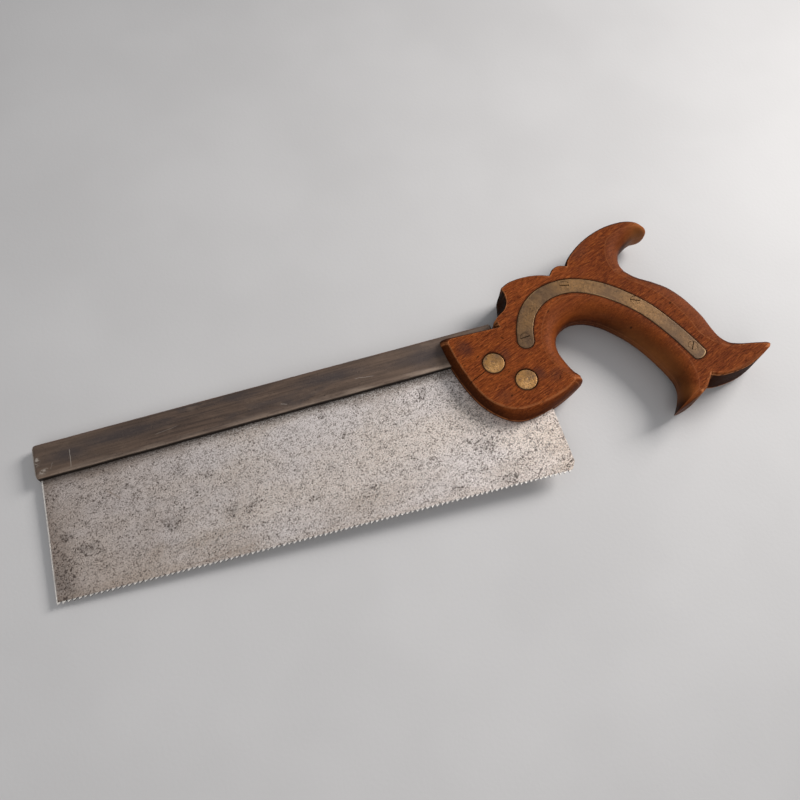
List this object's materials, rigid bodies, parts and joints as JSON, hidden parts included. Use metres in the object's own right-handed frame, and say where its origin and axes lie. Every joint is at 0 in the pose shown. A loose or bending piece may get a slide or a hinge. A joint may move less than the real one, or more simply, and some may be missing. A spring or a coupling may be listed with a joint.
{
  "type": "back saw",
  "caption": "Fine-toothed handsaw with a stiffening steel back, an open wooden handle with horns, brass bolts and a curved brass strap let into the handle.",
  "frame": {"origin": "centre of the saw's box, on the flat nut-side face of the handle, which the saw lies on", "axes": "+X along the back from the toe to the handle, +Y from the teeth to the back, +Z out of the show side of the handle"},
  "size_m": [0.3812, 0.129, 0.019],
  "materials": {
    "wood": "worn oiled and waxed, with short open pores",
    "plate_steel": "aged bare steel, finely pitted, with brown stains",
    "back_steel": "dark brown patina with lengthwise scuffs",
    "brass": "worn, mottled old brass",
    "strap_brass": "dull brown-olive brass with rubbed patches"
  },
  "bodies": {
    "root": {"handle": "wood", "saw_plate": "plate_steel", "back": "back_steel", "saw_bolt_1": "brass", "saw_bolt_2": "brass", "split_nut_1": "brass", "split_nut_2": "brass", "strap": "strap_brass", "strap_screw_1": "strap_brass", "strap_screw_2": "strap_brass", "strap_screw_3": "strap_brass", "strap_screw_4": "strap_brass"}
  },
  "joints": []
}
